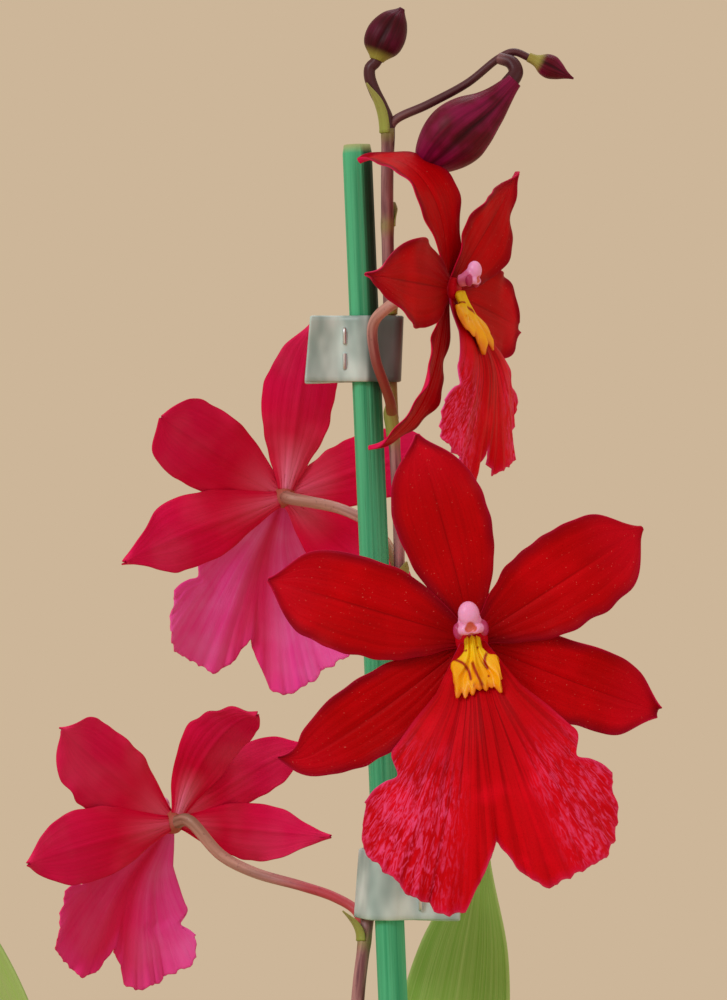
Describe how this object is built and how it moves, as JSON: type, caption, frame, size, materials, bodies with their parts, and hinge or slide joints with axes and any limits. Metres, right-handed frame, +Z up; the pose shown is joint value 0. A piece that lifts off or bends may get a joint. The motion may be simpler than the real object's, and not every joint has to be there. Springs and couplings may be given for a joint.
{
  "type": "potted oncidopsis orchid",
  "caption": "Potted orchid in bloom: crimson flowers with flared lips and dark buds on a stem tied to a green stake, strap leaves on flattened bulbs, bark in a plain pot.",
  "frame": {"origin": "centre of the pot's flat underside, on the surface it stands on", "axes": "+Z up from the pot's underside to the tip of the flower stem, -Y towards the viewer, the way the front bloom faces, and +X to that viewer's right"},
  "size_m": [0.2407, 0.2066, 0.4699],
  "materials": {
    "pot_plastic": "matte",
    "bark": "matte",
    "root": "matte",
    "bulb": "satin",
    "leaf": "satin",
    "stake_wood": "matte",
    "tie_tape": "satin",
    "staple_wire": "polished",
    "stem": "satin",
    "bud": "satin",
    "petal": "satin",
    "lip": "satin",
    "crest": "satin",
    "column": "satin"
  },
  "bodies": {
    "root": {"pot": "pot_plastic", "bark": "bark", "rhizome_roots": "root", "bulb_1": "bulb", "bulb_2": "bulb", "bulb_3": "bulb", "bulb_4": "bulb", "leaf_1": "leaf", "leaf_2": "leaf", "leaf_3": "leaf", "leaf_4": "leaf", "leaf_5": "leaf", "leaf_6": "leaf", "leaf_7": "leaf", "leaf_8": "leaf", "leaf_9": "leaf", "stake": "stake_wood", "upper_tie": "tie_tape", "upper_staple": "staple_wire", "lower_tie": "tie_tape", "lower_staple": "staple_wire", "flower_stem": "stem", "bud_top": "bud", "bud_large": "bud", "bud_small": "bud", "bloom_front_petals": "petal", "bloom_front_lip": "lip", "bloom_front_crest": "crest", "bloom_front_column": "column", "bloom_upper_petals": "petal", "bloom_upper_lip": "lip", "bloom_upper_crest": "crest", "bloom_upper_column": "column", "bloom_back_petals": "petal", "bloom_back_lip": "lip", "bloom_back_crest": "crest", "bloom_back_column": "column", "bloom_lower_petals": "petal", "bloom_lower_lip": "lip", "bloom_lower_crest": "crest", "bloom_lower_column": "column"}
  },
  "joints": []
}
